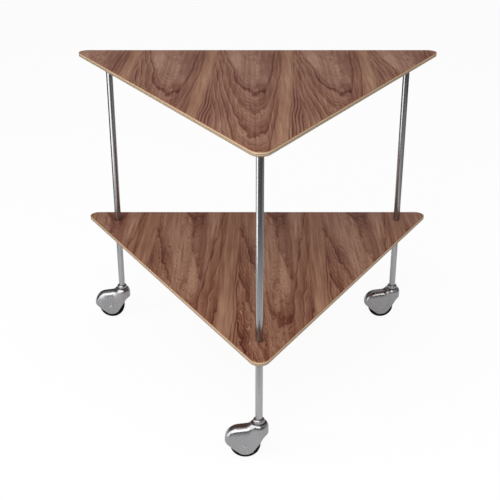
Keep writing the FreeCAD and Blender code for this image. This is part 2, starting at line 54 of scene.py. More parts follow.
class Wire:
    # one socket of a material, so that sums on its value read as plain arithmetic
    def __init__(self, tree, socket):
        self.tree = tree
        self.socket = socket

    def add(self, kind, sockets=None, out=0, stops=None, **settings):
        # any node: settings and ramp stops first, then values or links on its sockets
        node = self.tree.nodes.new("ShaderNode" + kind)
        for key, value in settings.items():
            setattr(node, key, value)
        for number, (place, shade) in enumerate(stops or ()):
            ramp = node.color_ramp.elements
            stop = ramp[number] if number < len(ramp) else ramp.new(place)
            stop.position = place
            stop.color = shade
        for key, value in (sockets or {}).items():
            if isinstance(value, Wire):
                self.tree.links.new(value.socket, node.inputs[key])
            else:
                node.inputs[key].default_value = value
        return Wire(self.tree, node.outputs[out])

    def maths(self, operation, first, second=0.0):
        # one operation on two values or wires
        return self.add("Math", {0: first, 1: second}, operation=operation)

    def __add__(self, other):
        return self.maths("ADD", self, other)

    def __radd__(self, other):
        return self.maths("ADD", other, self)

    def __sub__(self, other):
        return self.maths("SUBTRACT", self, other)

    def __rsub__(self, other):
        return self.maths("SUBTRACT", other, self)

    def __mul__(self, other):
        return self.maths("MULTIPLY", self, other)

    def __rmul__(self, other):
        return self.maths("MULTIPLY", other, self)

    def __truediv__(self, other):
        return self.maths("DIVIDE", self, other)

    def __rtruediv__(self, other):
        return self.maths("DIVIDE", other, self)

    def fract(self):
        # what is left above the whole number
        return self.maths("FRACT", self)

    def floor(self):
        # the whole number itself
        return self.maths("FLOOR", self)

    def root(self):
        # square root
        return self.maths("SQRT", self)

    def apart(self):
        # distance from zero
        return self.maths("ABSOLUTE", self)

    def rise(self, ease):
        # 0 on one side of zero, the value itself on the other, with a soft bend between: half the value
        # and half the root of its square and the ease's square
        return (self + (self * self + ease * ease).root()) * 0.5

    def shade(self, stops):
        # a colour from a row of stops
        return self.add("ValToRGB", {0: self}, stops=stops)

    def step(self, low, high):
        # 0 below low, 1 above high, smooth between
        sockets = {"Value": self, "From Min": low, "From Max": high}
        return self.add("MapRange", sockets, interpolation_type="SMOOTHSTEP")

    def chance(self):
        # one random share for each whole number that the value passes
        return self.add("TexWhiteNoise", {"W": self.floor()}, noise_dimensions="1D")

    def split(self):
        # the three parts of a vector
        node = self.add("SeparateXYZ", {0: self}).socket.node
        return [Wire(self.tree, socket) for socket in node.outputs]

    def spread(self, scale):
        # a vector times another, part by part
        return self.add("VectorMath", {0: self, 1: scale}, operation="MULTIPLY")

    def noise(self, scale, detail, rough):
        # cloud noise about 0.5, with its own scale on each axis
        sockets = {"Vector": self.spread(scale), "Scale": 1.0, "Detail": detail, "Roughness": rough}
        return self.add("TexNoise", sockets)

    def drift(self, scale, detail, rough):
        # cloud noise about 0
        return self.noise(scale, detail, rough) - 0.5

    def mix(self, first, second):
        # two colours by this wire's value
        return self.add("Mix", {0: self, 6: first, 7: second}, out=2, data_type="RGBA")

    def bump(self, strength, depth):
        # this wire's value as a relief
        return self.add("Bump", {"Strength": strength, "Distance": depth, "Height": self})


screen = dict(full=255, knee=0.04045, slope=12.92, offset=0.055, power=2.4)
white = (1, 1, 1, 1)


def paint(red, green, blue):
    # a colour as it looks on a screen, in the linear values that shaders take: a slope, then a power
    share = np.array((red, green, blue)) / screen["full"]
    curved = ((share + screen["offset"]) / (1 + screen["offset"])) ** screen["power"]
    linear = np.where(share <= screen["knee"], share / screen["slope"], curved)
    return (*linear.tolist(), 1.0)


def greys(stops):
    # ramp stops from pairs of place and brightness
    return [(place, (value, value, value, 1.0)) for place, value in stops]


def newFinish(name):
    # a material whose Principled shader is ready, and the wire of its Object coordinates
    finish = bpy.data.materials.new(name)
    finish.use_nodes = True
    tree = finish.node_tree
    coordinates = tree.nodes.new("ShaderNodeTexCoord")
    return finish, Wire(tree, coordinates.outputs["Object"])


def setFinish(finish, **sockets):
    # values or wires on the Principled shader, by socket name with its spaces left out
    tree = finish.node_tree
    shader = tree.nodes["Principled BSDF"]
    names = {socket.name.replace(" ", ""): socket for socket in shader.inputs}
    for key, value in sockets.items():
        if isinstance(value, Wire):
            tree.links.new(value.socket, names[key])
        else:
            names[key].default_value = value
    return finish


# Veneer

veneer = dict(
    mauve=((0.0, paint(76, 36, 27)), (0.25, paint(101, 58, 45)), (0.5, paint(120, 80, 65)),
           (0.75, paint(138, 101, 84)), (1.0, paint(160, 124, 106))),
    tan=((0.0, paint(78, 37, 25)), (0.25, paint(104, 60, 44)), (0.5, paint(125, 83, 63)),
         (0.75, paint(143, 104, 82)), (1.0, paint(165, 127, 102))),
    # brightness through one ring, one line and one stripe
    bold=((0.0, 0.0), (0.2, 0.1), (0.5, 0.3), (0.8, 0.5), (0.9, 0.78), (0.955, 1.0), (0.985, 0.85),
          (1.0, 0.0)),
    fine=((0.0, 0.0), (0.6, 0.1), (0.85, 0.6), (0.94, 1.0), (1.0, 0.0)),
    pale=((0.0, 1.0), (0.06, 0.9), (0.16, 0.0), (1.0, 0.0)),
    stripe=((0.0, 0.0), (0.45, 0.15), (0.7, 1.0), (0.86, 0.7), (1.0, 0.0)),
    # noises: scale across and along the leaf, detail and roughness
    wander=((12, 5, 1), 1.0, 0.5), ripple=((30, 9, 1), 1.0, 0.5), teeth=((80, 24, 1), 3.0, 0.6),
    patches=((60, 8, 1), 1.0, 0.5), clouds=((26, 7, 1), 2.0, 0.55), streaks=((210, 7, 1), 2.0, 0.6),
    fibres=((900, 26, 1), 2.0, 0.6), pores=((1700, 70, 1), 1.0, 0.5), blush=((18, 5, 1), 1.0, 0.5),
    # flame: sway of its axis, softness of its bends, and what the noises do to its rings
    sway=0.014, softBend=0.004, ringRipple=0.6, ringTeeth=0.7, innerRings=(0.55, 1.0),
    strongFrom=(-0.8, -0.2), boldChance=0.35, boldStrong=0.45, boldLeast=0.2,
    lineWander=1.5, lineShift=0.37, fineChance=0.8, fineLeast=0.2, paleSide=(0.0, 0.01), paleLeast=0.3,
    # dark tongue beside the axis, and the dark flank
    tongueTeeth=0.03, tongueNear=(0.0, 0.004), tongueFar=(-0.004, 0.006), tongueRings=(1.1, 1.7),
    flankSide=(0.026, 0.042),
    # straight band and the stripes beyond it
    bandSway=0.012, bandShares=(0.7, 1.3), borderShares=(0.6, 1.2), stripeStep=0.0052, stripeRipple=1.5,
    stripePatch=1.2, stripeFade=1.4, poreRange=(0.64, 0.72),
    # how much each of them counts
    calm=dict(straight=0.8, border=0.6),
    tone=dict(inner=0.18, straight=0.04, clouds=0.6, bold=0.6, stripes=0.8, pale=0.42, fine=0.4,
              streaks=0.75, fibres=0.24, pores=0.1),
    hue=dict(straight=0.7, pale=0.5, blush=1.2, inner=0.3),
    reliefFibres=0.4, reliefStrength=0.25, reliefDepth=0.00012, rough=0.49, roughGrain=0.1, shine=0.15)
shelves = dict(
    top_shelf=dict(
        leafWidth=0.1395, leafShift=0.075, axis=0.066, core=0.02, climbLeft=0.6, bendLeft=105, climbRight=14,
        ring=0.107, phase=0.86, seed=0.9, ringLines=4, band=0.1165, bandHalf=0.010, lean=0.04,
        tongue=dict(near=0.008, slant=0.0, far=0.034, depth=0.22), flank=0.0,
        warmthAndShade=0.3, baseToneAndShade=0.72, grain=1.0),
    # the lower shelf is darker and warmer than the top one: partly its own leaves, partly painted shade from
    # the top shelf above it
    lower_shelf=dict(
        leafWidth=0.160, leafShift=0.035, axis=0.060, core=0.031, climbLeft=6.2, bendLeft=0, climbRight=11.8,
        ring=0.195, phase=0.09, seed=5.4, ringLines=6, band=0.143, bandHalf=0.013, lean=0.03,
        tongue=dict(near=0.032, slant=0.13, far=0.037, depth=0.34), flank=0.1,
        warmthAndShade=0.8, baseToneAndShade=0.675, grain=1.25))


def ringMarks(rings, lines, out):
    # dark edge of each ring by chance and strength, and fine dark and pale lines by a chance of their own
    strength = rings.chance() * veneer["boldChance"] + veneer["boldLeast"]
    strength = strength + rings.floor().step(*veneer["strongFrom"]) * veneer["boldStrong"]
    bold = rings.fract().shade(greys(veneer["bold"])) * strength
    chance = lines.chance()
    fine = lines.fract().shade(greys(veneer["fine"])) * (chance * veneer["fineChance"] + veneer["fineLeast"])
    leftSide = (0 - out).step(*veneer["paleSide"]) + veneer["paleLeast"]
    pale = lines.fract().shade(greys(veneer["pale"])) * chance * leftSide
    return bold, fine, pale


def tongueShadow(rings, out, y, ragged, tongue, flank):
    # a tongue from a ragged near edge to a soft far edge, within the inner rings, and the flank's shade
    near = out - tongue["near"] + y * tongue["slant"] + ragged * veneer["tongueTeeth"]
    shadow = near.step(*veneer["tongueNear"]) * (1 - (out - tongue["far"]).step(*veneer["tongueFar"]))
    shadow = shadow * (1 - rings.step(*veneer["tongueRings"])) * tongue["depth"]
    return shadow + (0 - out).step(*veneer["flankSide"]) * flank


def bandMarks(middle, y, ripple, patches, bandHalf):
    # masks by the distance from the band's middle: the band, what lies beyond it, and stripes there
    straight = 1 - middle.apart().step(*(bandHalf * share for share in veneer["bandShares"]))
    border = middle.step(*(bandHalf * share for share in veneer["borderShares"]))
    stripes = (middle / veneer["stripeStep"] + ripple * veneer["stripeRipple"]).fract()
    stripes = stripes.shade(greys(veneer["stripe"])) * border
    return straight, border, stripes * (patches * veneer["stripePatch"] - y * veneer["stripeFade"])


def veneerFinish(name, leafWidth, leafShift, axis, core, climbLeft, bendLeft, climbRight, ring, phase, seed,
                 ringLines, band, bandHalf, lean, tongue, flank, warmthAndShade, baseToneAndShade, grain):
    # Slip-matched walnut: every leaf repeats one cathedral figure. A growth ring is a level line of the
    # climb out from the flame's axis, less the length, bent by cloud noise: to the left the climb is a
    # slope and a square of the distance, to the right a steep slope beyond the flame's core. A dark
    # tongue lies right of the axis, then a calm straight band, then narrow stripes up to the leaf's end,
    # and the far left of the flame, its flank, may be darker too.
    finish, at = newFinish(name)
    x, y = at.split()[:2]
    across = ((x + leafShift) / leafWidth).fract() * leafWidth
    spot = at.add("CombineXYZ", {0: across, 1: y, 2: seed})
    wander = spot.drift(*veneer["wander"])
    ripple = spot.drift(*veneer["ripple"])
    teeth = spot.drift(*veneer["teeth"])
    out = across - axis + wander * veneer["sway"]
    left = (0 - out).rise(veneer["softBend"])
    left = left * climbLeft + left * left * bendLeft
    right = (out - core).rise(veneer["softBend"]) * climbRight
    rings = (left + right - y) / ring + phase + ripple * veneer["ringRipple"] + teeth * veneer["ringTeeth"]
    lines = rings * ringLines + wander * veneer["lineWander"] + veneer["lineShift"]
    inner = 1 - rings.step(*veneer["innerRings"])
    bold, fine, pale = ringMarks(rings, lines, out)
    shadow = tongueShadow(rings, out, y, ripple + teeth, tongue, flank)
    middle = across - band - y * lean + wander * veneer["bandSway"]
    patches = spot.noise(*veneer["patches"])
    straight, border, stripes = bandMarks(middle, y, ripple, patches, bandHalf)
    calm = 1 - straight * veneer["calm"]["straight"] - border * veneer["calm"]["border"]
    fibres = spot.drift(*veneer["fibres"])
    pores = spot.noise(*veneer["pores"]).step(*veneer["poreRange"])
    share = veneer["tone"]
    # the starting tone and the hue's offset below are each shelf's own, and on the lower shelf they also hold
    # painted shade from the top shelf
    tone = baseToneAndShade + inner * share["inner"] + straight * share["straight"] - shadow
    tone = tone + spot.drift(*veneer["clouds"]) * share["clouds"]
    tone = tone - bold * calm * share["bold"] - stripes * share["stripes"]
    marks = pale * calm * share["pale"] - fine * calm * share["fine"]
    tone = tone + (marks + spot.drift(*veneer["streaks"]) * share["streaks"]) * grain
    tone = tone + fibres * share["fibres"] - pores * share["pores"]
    share = veneer["hue"]
    hue = straight * share["straight"] + pale * share["pale"] - inner * share["inner"] + warmthAndShade
    hue = hue + spot.drift(*veneer["blush"]) * share["blush"]
    colour = hue.step(0.0, 1.0).mix(tone.shade(veneer["mauve"]), tone.shade(veneer["tan"]))
    relief = (fibres * veneer["reliefFibres"] - pores).bump(veneer["reliefStrength"], veneer["reliefDepth"])
    rough = veneer["rough"] + (fibres + pores) * veneer["roughGrain"]
    return setFinish(finish, BaseColor=colour, Roughness=rough, Normal=relief,
                     SpecularIORLevel=veneer["shine"])


plyEdge = dict(
    # top veneer, plies with dark glue lines, bottom veneer; the lower plies and the bottom veneer are darker,
    # as painted shade along the underside of the edge
    layers=((0.0, paint(138, 84, 36)), (0.12, paint(150, 96, 44)), (0.15, paint(182, 166, 146)),
            (0.40, paint(176, 158, 136)), (0.44, paint(112, 86, 62)), (0.54, paint(116, 90, 65)),
            (0.58, paint(162, 142, 118)), (0.84, paint(146, 125, 101)), (0.88, paint(100, 74, 48)),
            (1.0, paint(94, 70, 46))),
    streak=paint(140, 115, 88), streaks=((45, 45, 1400), 3.0, 0.6), streakRange=(0.45, 0.75), streakShare=0.4,
    waver=((90, 90, 90), 1.0, 0.5), waverShare=0.03, grain=((420, 420, 140), 2.0, 0.5),
    reliefStrength=0.3, reliefDepth=0.0001, rough=0.5, roughGrain=0.15, shine=0.3)


def plyFinish(name, top, thickness):
    # layers by depth below the top face, with streaks along them; darker towards the bottom, where painted
    # shade lies over the lower plies and the bottom veneer
    finish, at = newFinish(name)
    height = at.split()[2]
    grain = at.noise(*plyEdge["grain"])
    streaks = at.noise(*plyEdge["streaks"]).step(*plyEdge["streakRange"])
    depth = (top - height) / thickness + at.drift(*plyEdge["waver"]) * plyEdge["waverShare"]
    colour = (streaks * plyEdge["streakShare"]).mix(depth.shade(plyEdge["layers"]), plyEdge["streak"])
    relief = grain.bump(plyEdge["reliefStrength"], plyEdge["reliefDepth"])
    rough = plyEdge["rough"] + grain * plyEdge["roughGrain"]
    return setFinish(finish, BaseColor=colour, Roughness=rough, Normal=relief,
                     SpecularIORLevel=plyEdge["shine"])


shelfFinishes = {}
for shelf, figure in shelves.items():
    low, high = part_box(shelf)
    faceFinish = veneerFinish("veneer_" + shelf, **figure)
    edgeFinish = plyFinish("ply_edge_" + shelf, high.z, high.z - low.z)
    shelfFinishes[shelf] = [faceFinish, edgeFinish]


# Metals and mouldings

steel = paint(168, 168, 170)
metal = dict(
    streakNoise=(3.0, 0.6), clouds=((35, 35, 35), 2.0, 0.5), waves=((220, 220, 220), 1.0, 0.5),
    dimmed=0.86, toneStreak=0.25, toneCloud=0.5, glossStreak=0.1, glossCloud=0.05, waveStrength=0.1)
metals = dict(
    leg_steel=dict(colour=steel, rough=0.22, streak=(900, 900, 30), wave=0.00002),
    plated_casting=dict(colour=paint(157, 156, 158), rough=0.27, streak=(300, 300, 300), wave=0.00006),
    fastener_steel=dict(colour=steel, rough=0.24, streak=(500, 500, 500), wave=0.00003),
    bearing_steel=dict(colour=paint(190, 190, 194), rough=0.12, streak=(700, 700, 700), wave=0.00001),
    bush_bronze=dict(colour=paint(176, 136, 84), rough=0.42, streak=(600, 600, 600), wave=0.00004))
moulding = dict(
    pebbleNoise=(3.0, 0.6), rubs=((60, 60, 60), 3.0, 0.6), rubRange=(0.52, 0.75), rubShare=0.5,
    reliefStrength=0.2, reliefDepth=0.0001, roughRub=0.12, roughPebble=0.06)
mouldings = dict(
    flange_steel=dict(colour=paint(38, 38, 40), worn=paint(58, 58, 60), rough=0.42, grain=1800, shine=0.3),
    spacer_nylon=dict(colour=paint(222, 220, 210), worn=paint(200, 198, 188), rough=0.45, grain=1200,
                      shine=0.3),
    hub_nylon=dict(colour=paint(30, 30, 31), worn=paint(52, 52, 53), rough=0.48, grain=1500, shine=0.3),
    tyre_rubber=dict(colour=paint(7, 7, 7), worn=paint(18, 18, 18), rough=0.62, grain=1600, shine=0.08))


def metalFinish(name, colour, rough, streak, wave):
    # polished metal: fine streaks in its gloss, a little unevenness and a faint change of tone
    finish, at = newFinish(name)
    streaks = at.noise(streak, *metal["streakNoise"])
    clouds = at.noise(*metal["clouds"])
    dim = tuple(metal["dimmed"] * part for part in colour[:3]) + (1.0,)
    tone = (clouds * metal["toneCloud"] + streaks * metal["toneStreak"]).mix(colour, dim)
    gloss = rough + (streaks - 0.5) * metal["glossStreak"] + (clouds - 0.5) * metal["glossCloud"]
    relief = at.noise(*metal["waves"]).bump(metal["waveStrength"], wave)
    return setFinish(finish, BaseColor=tone, Metallic=1.0, Roughness=gloss, Normal=relief)


def mouldedFinish(name, colour, worn, rough, grain, shine):
    # rubber, nylon or powder coat: a fine pebbled skin, paler and duller where it has rubbed
    finish, at = newFinish(name)
    pebbles = at.noise((grain, grain, grain), *moulding["pebbleNoise"])
    rubbed = at.noise(*moulding["rubs"]).step(*moulding["rubRange"])
    tone = (rubbed * moulding["rubShare"]).mix(colour, worn)
    relief = pebbles.bump(moulding["reliefStrength"], moulding["reliefDepth"])
    rough = rough + rubbed * moulding["roughRub"] + pebbles * moulding["roughPebble"]
    return setFinish(finish, BaseColor=tone, Roughness=rough, SpecularIORLevel=shine, Normal=relief)


finishes = {slot: metalFinish(slot, **look) for slot, look in metals.items()}
finishes.update({slot: mouldedFinish(slot, **look) for slot, look in mouldings.items()})
for part in frame["record"]["subparts"]:
    slotFinish = finishes.get(part["material_slot"])
    if slotFinish:
        frame["nodes"][part["node"]].material_slots[0].material = slotFinish
print("finishes made:", len(bpy.data.materials))


# Surfaces

easing = dict(steps=5, mostShare=0.45)


def middleOf(node):
    # the middle of a node's box
    low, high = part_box(node)
    return (low + high) / 2


def halfOf(node):
    # half the size of a node's box, along each axis
    low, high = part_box(node)
    return (high - low) / 2


def gridFaces(rows, columns):
    # four-sided faces of a grid of points, row by row, closed round its columns
    index = np.arange(rows * columns).reshape(rows, columns)
    beside = np.roll(index, -1, axis=1)
    return np.stack((index[:-1], beside[:-1], beside[1:], index[1:]), axis=-1).reshape(-1, 4)


def fanFaces(ring, pole):
    # three-sided faces from a closed ring of points to one pole
    return np.stack((ring, np.roll(ring, -1), np.full_like(ring, pole)), axis=-1)


def closedFaces(rows, columns):
    # a grid whose first and last row each close at a pole, which are the two points after the grid's own
    first, last = np.arange(columns), np.arange(columns) + (rows - 1) * columns
    pole = rows * columns
    return [gridFaces(rows, columns), fanFaces(first[::-1], pole), fanFaces(last, pole + 1)]


def enclosedVolume(points, faces):
    # six times the volume: the sum of each triangle's corners, one dotted with the cross of the others
    first, second, third = points[faces[:, 0]], points[faces[:, 1]], points[faces[:, 2]]
    total = np.einsum("ij,ij->", first, np.cross(second, third))
    if faces.shape[1] == 4:
        total += np.einsum("ij,ij->", first, np.cross(third, points[faces[:, 3]]))
    return total


def placed(name, data):
    # a new object at the origin of the scene
    thing = bpy.data.objects.new(name, data)
    bpy.context.scene.collection.objects.link(thing)
    return thing


def putPiece(name, points, faceSets, finishList, body, parts=None):
    # a mesh object from points and sets of faces, turned so that its faces look outwards
    middle = points.mean(axis=0)
    if sum(enclosedVolume(points - middle, faces) for faces in faceSets) < 0:
        faceSets = [faces[:, ::-1] for faces in faceSets]
    mesh = bpy.data.meshes.new(name)
    mesh.from_pydata(points.tolist(), [], [face for faces in faceSets for face in faces.tolist()])
    mesh.polygons.foreach_set("use_smooth", np.ones(len(mesh.polygons), bool))
    for finish in finishList:
        mesh.materials.append(finish)
    if parts is not None:
        mesh.polygons.foreach_set("material_index", parts.astype(np.int32))
    mesh.update()
    piece = placed(name, mesh)
    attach(piece, body)
    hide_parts(name)


def easedProfile(cornerPoints, ease):
    # each corner of a closed profile becomes a short curve from start to end, drawn towards the corner:
    # weights of (1-share)^2, 2*share*(1-share) and share^2 on start, corner and end
    spots = np.array(cornerPoints, float)
    before = np.roll(spots, 1, axis=0) - spots
    after = np.roll(spots, -1, axis=0) - spots
    lengths = [np.linalg.norm(side, axis=1, keepdims=True) for side in (before, after)]
    start, end = (spots + side / size * np.minimum(ease, size * easing["mostShare"])
                  for side, size in zip((before, after), lengths))
    share = np.linspace(0, 1, easing["steps"])[None, :, None]
    curve = (1 - share) ** 2 * start[:, None] + 2 * share * (1 - share) * spots[:, None]
    return (curve + share ** 2 * end[:, None]).reshape(-1, 2)


def turnedPoints(profile, centre, axis, around):
    # a profile of radius and length carried round an upright axis, or round one along Y
    angle = np.linspace(0, 2 * np.pi, around, endpoint=False)
    radius, length = profile[:, :1], np.repeat(profile[:, 1:], around, axis=1)
    sides = (radius * np.cos(angle), radius * np.sin(angle), length)
    order = (0, 1, 2) if axis == "z" else (0, 2, 1)
    return np.stack([sides[place] for place in order], axis=-1) + np.array(centre)


def turnedPiece(name, profile, centre, axis, around, body, slot, hollow=False):
    # a turned solid: a ring profile closes on itself, any other one closes at a pole on each end
    grid = turnedPoints(profile, centre, axis, around)
    rows = len(profile)
    points = grid.reshape(-1, 3)
    if hollow:
        faces = [gridFaces(rows + 1, around) % len(points)]
    else:
        points = np.vstack((points, grid[[0, -1]].mean(axis=1)))
        faces = closedFaces(rows, around)
    putPiece(name, points, faces, [finishes[slot]], body)


# Shelves

boards = dict(
    cornerRadius=0.016, ease=0.0008, easeSteps=6, outlineSteps=24, sideSteps=36,
    rimShare=0.9975, ringShares=(0.97, 0.1), rings=8)


def outline(reach, radius):
    # A rounded triangle with a straight back edge: points and outward normals along three arcs of a
    # third of a turn, each followed by a straight side. The arcs' centres lie at the reach.
    hub = np.radians((30, 150, 270))[:, None]
    turn = hub + np.linspace(-1, 1, boards["outlineSteps"])[None] * np.radians(60)
    normal = np.stack((np.cos(turn), np.sin(turn)), axis=-1)
    arc = reach * np.stack((np.cos(hub), np.sin(hub)), axis=-1) + radius * normal
    share = np.linspace(0, 1, boards["sideSteps"] + 1)[None, 1:-1, None]
    side = arc[:, -1:] * (1 - share) + np.roll(arc[:, :1], -1, axis=0) * share
    sideNormal = np.repeat(normal[:, -1:], side.shape[1], axis=1)
    spots = np.concatenate((arc, side), axis=1).reshape(-1, 2)
    return spots, np.concatenate((normal, sideNormal), axis=1).reshape(-1, 2)


def shelfPiece(name):
    # The outline carried through a profile: quarter rounds at the rim, then rings that shrink to the
    # middle of each face. The width gives the triangle's reach.
    low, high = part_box(name)
    radius, ease = boards["cornerRadius"], boards["ease"]
    reach = (high.x - low.x - 2 * radius) / math.sqrt(3)
    rim, normal = outline(reach, radius)
    middle = np.array((0.0, high.y - reach / 2 - radius))
    turn = np.radians(np.linspace(90, 0, boards["easeSteps"]))
    inset, drop = ease * (1 - np.cos(turn)), ease * (1 - np.sin(turn))
    inset = np.concatenate((inset, inset[::-1]))
    height = np.concatenate((high.z - drop, (low.z + drop)[::-1]))
    edge = rim[None] - normal[None] * inset[:, None, None]
    shrink = np.concatenate(([boards["rimShare"]], np.linspace(*boards["ringShares"], boards["rings"])))
    face = edge[:1] * shrink[:, None, None]
    flat = np.concatenate((face[::-1], edge, face))
    level = np.concatenate((np.full(len(face), high.z), height, np.full(len(face), low.z)))
    grid = np.dstack((flat + middle, np.repeat(level[:, None], flat.shape[1], axis=1)))
    rows, columns = grid.shape[:2]
    points = np.vstack((grid.reshape(-1, 3), (*middle, high.z), (*middle, low.z)))
    row = np.repeat(np.arange(rows - 1), columns)
    onEdge = (row >= len(face)) & (row < len(face) + len(edge) - 1)
    parts = np.concatenate((onEdge, np.zeros(2 * columns)))
    putPiece(name, points, closedFaces(rows, columns), shelfFinishes[name], "frame", parts)


for shelf in shelves:
    shelfPiece(shelf)
print("shelves made")


# Legs

legs = dict(ease=0.0006, runOut=0.002, screwRadius=0.0025, around=72)
legs["onAxis"] = slice(3, -2)  # leaves out the eased points on the axis, where poles close the bar


def legPiece(name, boreBelow, boreAbove):
    # a straight bar with eased ends and a blind bore in each, given as its radius and its inner end
    low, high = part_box(name)
    radius = halfOf(name).x
    (lowRadius, lowEnd), (highRadius, highEnd) = boreBelow, boreAbove
    profile = easedProfile([
        (0, lowEnd), (lowRadius, lowEnd), (lowRadius, low.z), (radius, low.z),
        (radius, high.z), (highRadius, high.z), (highRadius, highEnd), (0, highEnd)], legs["ease"])
    centre = middleOf(name)
    centre.z = 0
    turnedPiece(name, profile[legs["onAxis"]], centre, "z", legs["around"], "frame", "leg_steel")


def legPair(corner):
    # upper leg between stud and flange screw, lower leg between the swivel's sleeve and the stud
    studLow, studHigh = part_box("joining_stud_" + corner)
    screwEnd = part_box("flange_screw_" + corner)[0].z - legs["runOut"]
    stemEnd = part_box("swivel_stem_" + corner)[1].z + legs["runOut"]
    stud, sleeve = halfOf("joining_stud_" + corner).x, halfOf("swivel_sleeve_" + corner).x
    legPiece("upper_leg_" + corner, (stud, studHigh.z + legs["runOut"]), (legs["screwRadius"], screwEnd))
    legPiece("lower_leg_" + corner, (sleeve, stemEnd), (stud, studLow.z - legs["runOut"]))


# Swivel caps

caps = dict(wall=0.001, gripRadius=0.006, grip=0.0016, steps=14, ease=0.0003, around=80)


def arcBetween(start, end, radius, steps):
    # points on the arc of that radius from start to end, bulging to the right of the way
    start, end = np.array(start), np.array(end)
    chord = end - start
    half = np.linalg.norm(chord) / 2
    square = np.array((-chord[1], chord[0])) / (2 * half)
    centre = (start + end) / 2 + square * math.sqrt(radius ** 2 - half ** 2)
    first, last = (math.atan2(*(spot - centre)[::-1]) for spot in (start, end))
    turn = (last - first + np.pi) % (2 * np.pi) - np.pi
    angle = first + np.linspace(0, 1, steps) * turn
    return centre + radius * np.stack((np.cos(angle), np.sin(angle)), axis=-1)


def capPiece(name):
    # spun cup: an eased foot, a straight side, an outer arc up to the leg, a short grip on it and an
    # inner arc down again
    low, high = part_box(name)
    outer, grip, ease = halfOf(name).x, caps["gripRadius"], caps["ease"]
    inner, bend = outer - caps["wall"], outer - grip
    foot = [(inner, low.z + ease), (inner + ease, low.z), (outer - ease, low.z), (outer, low.z + ease),
            (outer, low.z + 2 * ease)]
    over = arcBetween((outer, high.z - bend), (grip, high.z), bend, caps["steps"])
    under = arcBetween((inner, high.z - bend), (grip, high.z - caps["grip"]), bend, caps["steps"])
    centre = middleOf(name)
    centre.z = 0
    profile = np.concatenate((foot, over, under[::-1]))
    turnedPiece(name, profile, centre, "z", caps["around"], "frame", "plated_casting", hollow=True)


# Wheels and axles

tyres = dict(shoulder=0.003, crown=0.0004, hubRadius=0.016, steps=8, around=96)


def tyrePiece(name, body):
    # quarter rounds for shoulders and a tread that falls by the crown times the square of the way out from
    # its middle, on a plain bore
    radius, side = halfOf(name).xy
    shoulder, crown, bore = tyres["shoulder"], tyres["crown"], tyres["hubRadius"]
    turn = np.radians(np.linspace(0, 90, tyres["steps"]))
    shoulderArc = np.stack((radius - crown - shoulder + shoulder * np.sin(turn),
                            -side + shoulder - shoulder * np.cos(turn)), axis=-1)
    tread = np.linspace(-1, 1, tyres["steps"] * 2 + 1)[1:-1]
    treadArc = np.stack((radius - crown * tread ** 2, tread * (side - shoulder)), axis=-1)
    farArc = (shoulderArc * (1, -1))[::-1]
    profile = np.concatenate(([(bore, -side)], shoulderArc, treadArc, farArc, [(bore, side)]))
    turnedPiece(name, profile, middleOf(name), "y", tyres["around"], body, "tyre_rubber", hollow=True)


hubs = dict(inset=0.001, rim=0.003, web=0.005, bossRadius=0.0065, boreRadius=0.00425, ease=0.0004, around=72)


def hubPiece(name, body):
    # rim, web and boss in one moulding: half its section, mirrored to the far side, with eased corners
    outer, side = halfOf(name).xy
    inner, rimSide, web = outer - hubs["rim"], side - hubs["inset"], hubs["web"] / 2
    boss, bore = hubs["bossRadius"], hubs["boreRadius"]
    half = [(bore, side), (boss, side), (boss, web), (inner, web), (inner, rimSide), (outer, rimSide)]
    profile = easedProfile(half + [(radius, -away) for radius, away in half[::-1]], hubs["ease"])
    turnedPiece(name, profile, middleOf(name), "y", hubs["around"], body, "hub_nylon", hollow=True)


axles = dict(
    radius=0.003, headRadius=0.004, headHeight=0.0009, domeRadius=0.0029, flange=0.0002, steps=10, around=48)


def axlePiece(name, body):
    # rivet: a plain shank between two heads, each a thin flange with a dome that is part of a ball
    side = halfOf(name).y
    head, under = axles["headRadius"], side - axles["headHeight"]
    flat = under + axles["flange"]
    rise = side - flat
    ball = (axles["domeRadius"] ** 2 + rise ** 2) / (2 * rise)
    turn = np.linspace(0, math.asin(axles["domeRadius"] / ball), axles["steps"])[1:]
    dome = np.stack((ball * np.sin(turn), side - ball * (1 - np.cos(turn))), axis=-1)
    edge = [(head - axles["flange"], flat), (head, (flat + under) / 2), (head, under),
            (axles["radius"], under)]
    half = np.concatenate((dome, edge))
    profile = np.concatenate((half, (half * (1, -1))[::-1]))
    turnedPiece(name, profile, middleOf(name), "y", axles["around"], body, "fastener_steel")


for corner in corners:
    legPair(corner)
    capPiece("swivel_cap_" + corner)
    tyrePiece("tyre_" + corner, "wheel_" + corner)
    hubPiece("wheel_hub_" + corner, "wheel_" + corner)
    axlePiece("axle_" + corner, "caster_" + corner)
print("legs, caps and wheels made")


# Caster hoods

hoods = dict(
    width=0.027, edgeRadius=0.0055, dome=13.4, domeReach=0.018,  # block whose sides lean in
    crownRadius=0.02425, crownBehind=0.009, crownRise=0.007, crownSlope=7.7,  # its round back and its top
    trail=0.022, bossRadius=0.0156, bossWallRise=0.0305, bossTopRadius=0.0124, bossTopRise=0.0387,
    blend=0.006, rimEase=0.0009,  # fillet from block to boss, and the eased rims
    cheekRadius=0.0163, tailAngle=37.5, neckAngle=57.7, neckRadius=0.011, neckRise=0.02,  # cut below
    wellRadius=0.028, wellWidth=0.0195, wellEase=0.003,  # room for the wheel
    axleRadius=0.003, stemRadius=0.0035, stemSeat=0.014,
    step=0.0006, margin=0.0024)  # grid that the surface is found on


def supportGap(x, z, radius, lowest, highest):
    # distance past a round end, an arc between two directions and the straight sides that touch it: the
    # way from the centre times the cosine of the angle beyond the arc, less the radius
    middle, half = (lowest + highest) / 2, (highest - lowest) / 2
    off = (np.degrees(np.arctan2(z, x)) - middle + 180) % 360 - 180
    beyond = np.radians(np.maximum(np.abs(off) - half, 0))
    return np.hypot(x, z) * np.cos(beyond) - radius


